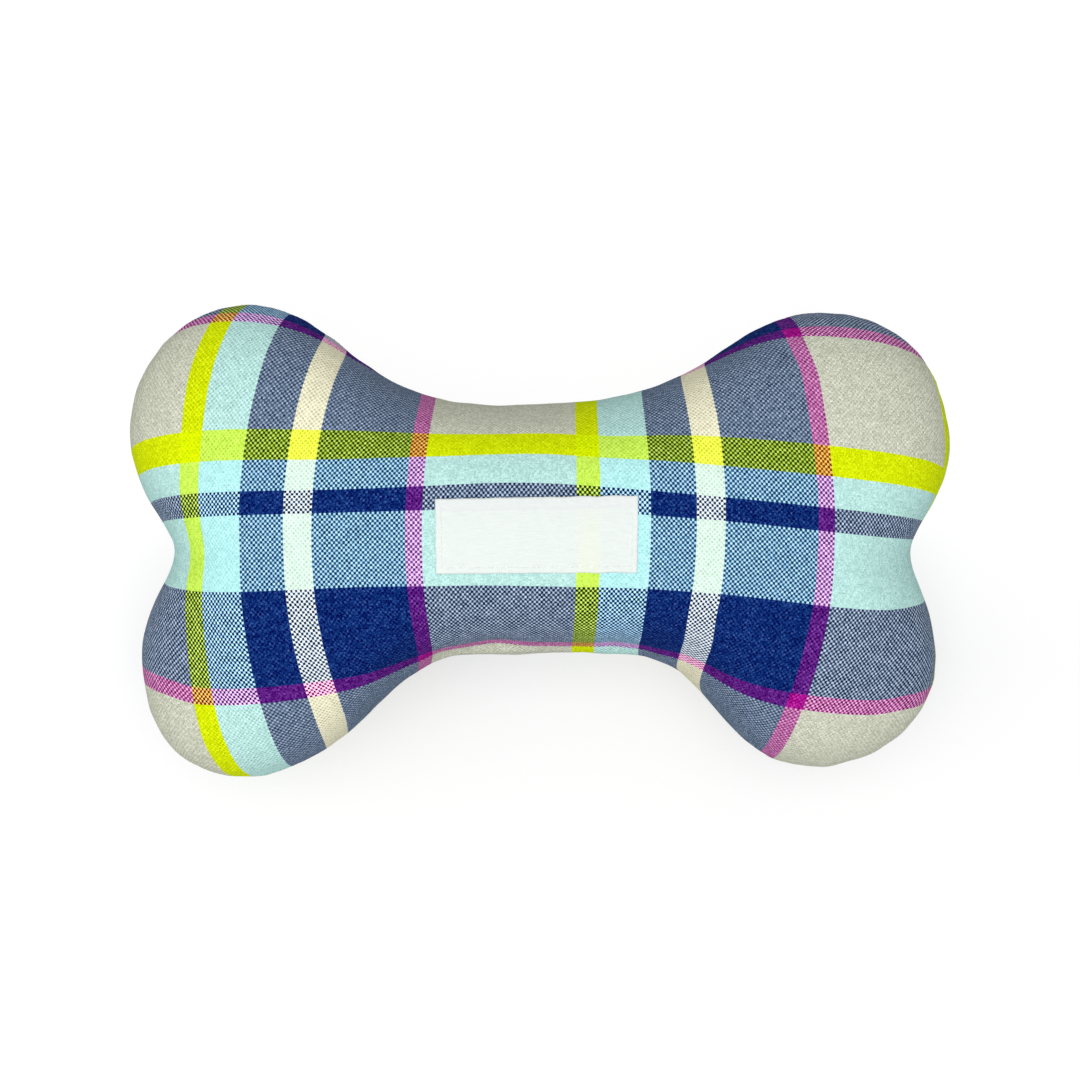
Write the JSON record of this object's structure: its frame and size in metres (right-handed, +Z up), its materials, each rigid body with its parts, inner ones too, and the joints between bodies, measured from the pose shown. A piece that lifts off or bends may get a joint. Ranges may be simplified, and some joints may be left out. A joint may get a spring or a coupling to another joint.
{
  "type": "bone-shaped dog toy",
  "caption": "Stuffed bone-shaped plaid cotton dog toy with two sewn panels, a blank sewn label, fibre stuffing and a squeaker inside.",
  "frame": {"origin": "middle of the toy's footprint, on the surface it lies on", "axes": "+X along the bone, +Y across it towards the label's upper edge, +Z up out of the front panel"},
  "size_m": [0.217, 0.125, 0.075],
  "materials": {
    "plaid_cotton": "brushed plain-weave cotton, multicolour plaid",
    "label_cotton": "thin white cotton, hemmed, blank",
    "white_thread": "spun polyester sewing thread",
    "fibre_fill": "loose white polyester fibre",
    "bulb_plastic": "blown soft polyethylene, milky",
    "plug_plastic": "moulded, off-white",
    "reed_film": "stiff clear polyester film"
  },
  "bodies": {
    "toy": {"front_panel": "plaid_cotton", "back_panel": "plaid_cotton", "label": "label_cotton", "label_thread": "white_thread", "seam_needle_thread": "white_thread", "seam_bobbin_thread": "white_thread", "closing_thread": "white_thread", "shaft_fill_front": "fibre_fill", "shaft_fill_back": "fibre_fill", "knob_fill_left_far": "fibre_fill", "knob_fill_left_near": "fibre_fill", "knob_fill_right_far": "fibre_fill", "knob_fill_right_near": "fibre_fill", "squeaker_bulb": "bulb_plastic", "squeaker_plug_channel_half": "plug_plastic", "squeaker_plug_cover_half": "plug_plastic"},
    "reed": {"squeaker_reed": "reed_film"}
  },
  "joints": [
    {"name": "reed_beat", "type": "hinge", "parent": "toy", "child": "reed", "pos_m": [0, 0.0031, 0.0262], "axis": [-1, 0, 0], "range_deg": [-2.5, 6], "stiffness_Nm_per_rad": 0.0015}
  ]
}
